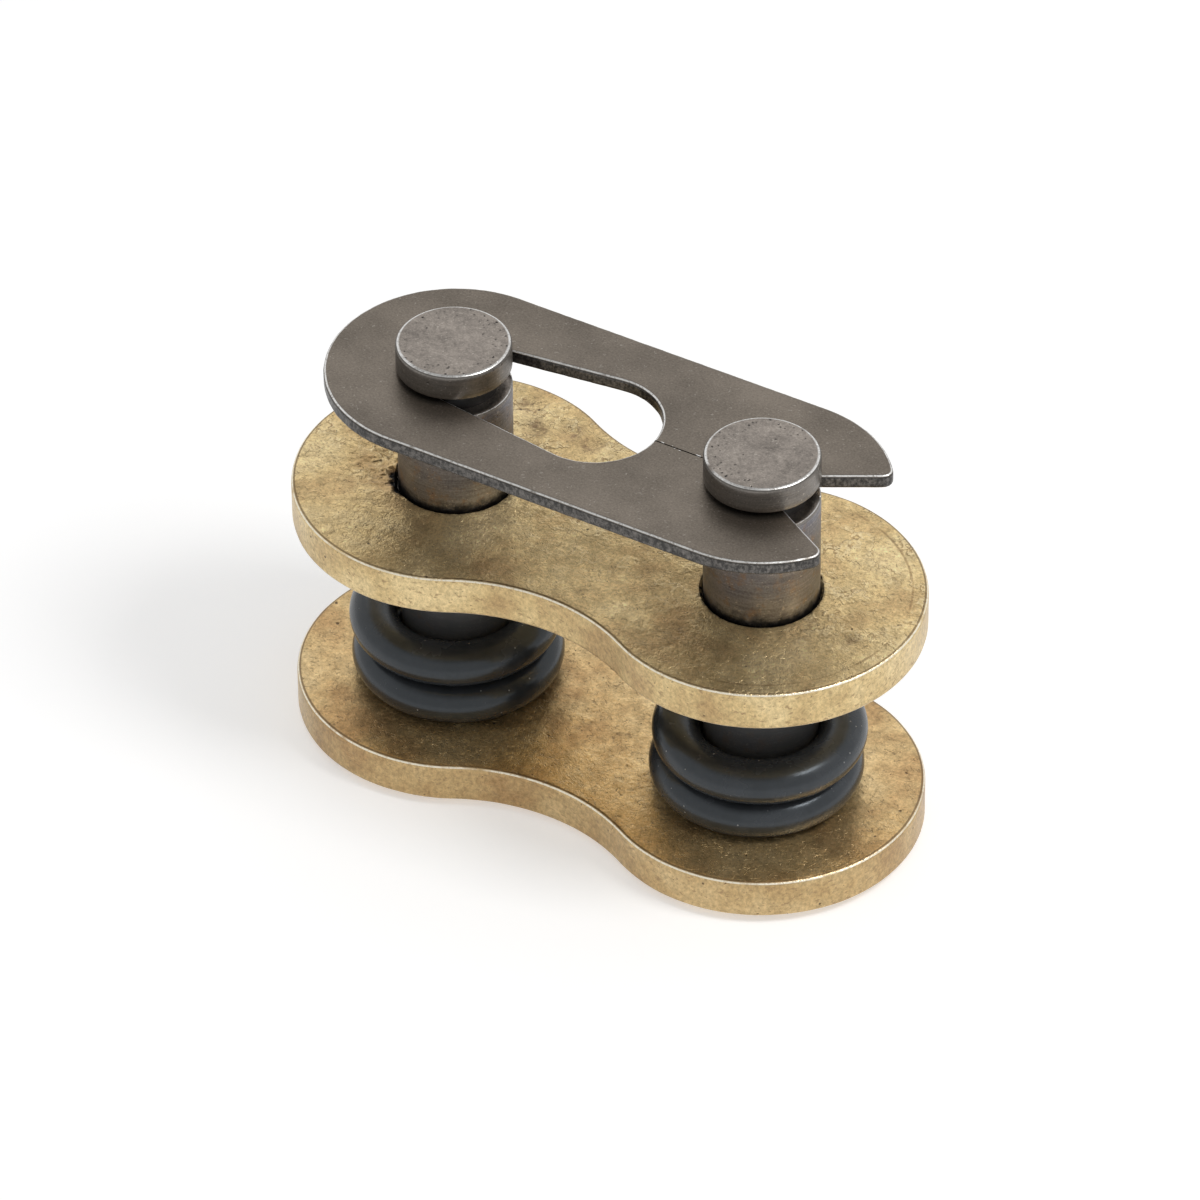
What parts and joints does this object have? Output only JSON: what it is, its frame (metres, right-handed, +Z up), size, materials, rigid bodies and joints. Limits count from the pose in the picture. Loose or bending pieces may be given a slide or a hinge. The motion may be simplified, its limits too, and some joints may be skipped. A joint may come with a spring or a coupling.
{
  "type": "chain connecting link",
  "caption": "Clip-type connecting link for a sealed roller chain: two waisted link plates on grooved pins, stacked rubber sealing rings and a keyhole spring clip.",
  "frame": {"origin": "midway between the two pins, level with the pins' lower ends on which the link stands", "axes": "+X from pin A, at the clip's closed end, to pin B, at the clip's open end; +Z up the pins from the fixed plate to the clip; +Y completes a right-handed frame"},
  "size_m": [0.0308, 0.0148, 0.021],
  "materials": {
    "plated_steel": "tumbled steel with a worn gold-coloured plating",
    "pin_steel": "ground hardened steel, darkened",
    "ring_rubber": "smooth moulded black rubber",
    "clip_steel": "dull grey-brown spring steel with bright worn edges"
  },
  "bodies": {
    "pinned_link": {"base_plate": "plated_steel", "pin_a": "pin_steel", "pin_b": "pin_steel", "o_ring_a_lower": "ring_rubber", "o_ring_a_upper": "ring_rubber", "o_ring_b_lower": "ring_rubber", "o_ring_b_upper": "ring_rubber", "spring_clip": "clip_steel"},
    "loose_plate": {"outer_plate": "plated_steel"}
  },
  "joints": [
    {"name": "plate_slide", "type": "slide", "parent": "pinned_link", "child": "loose_plate", "axis": [0, 0, 1], "range_m": [-0.00496, 0.00544]}
  ]
}
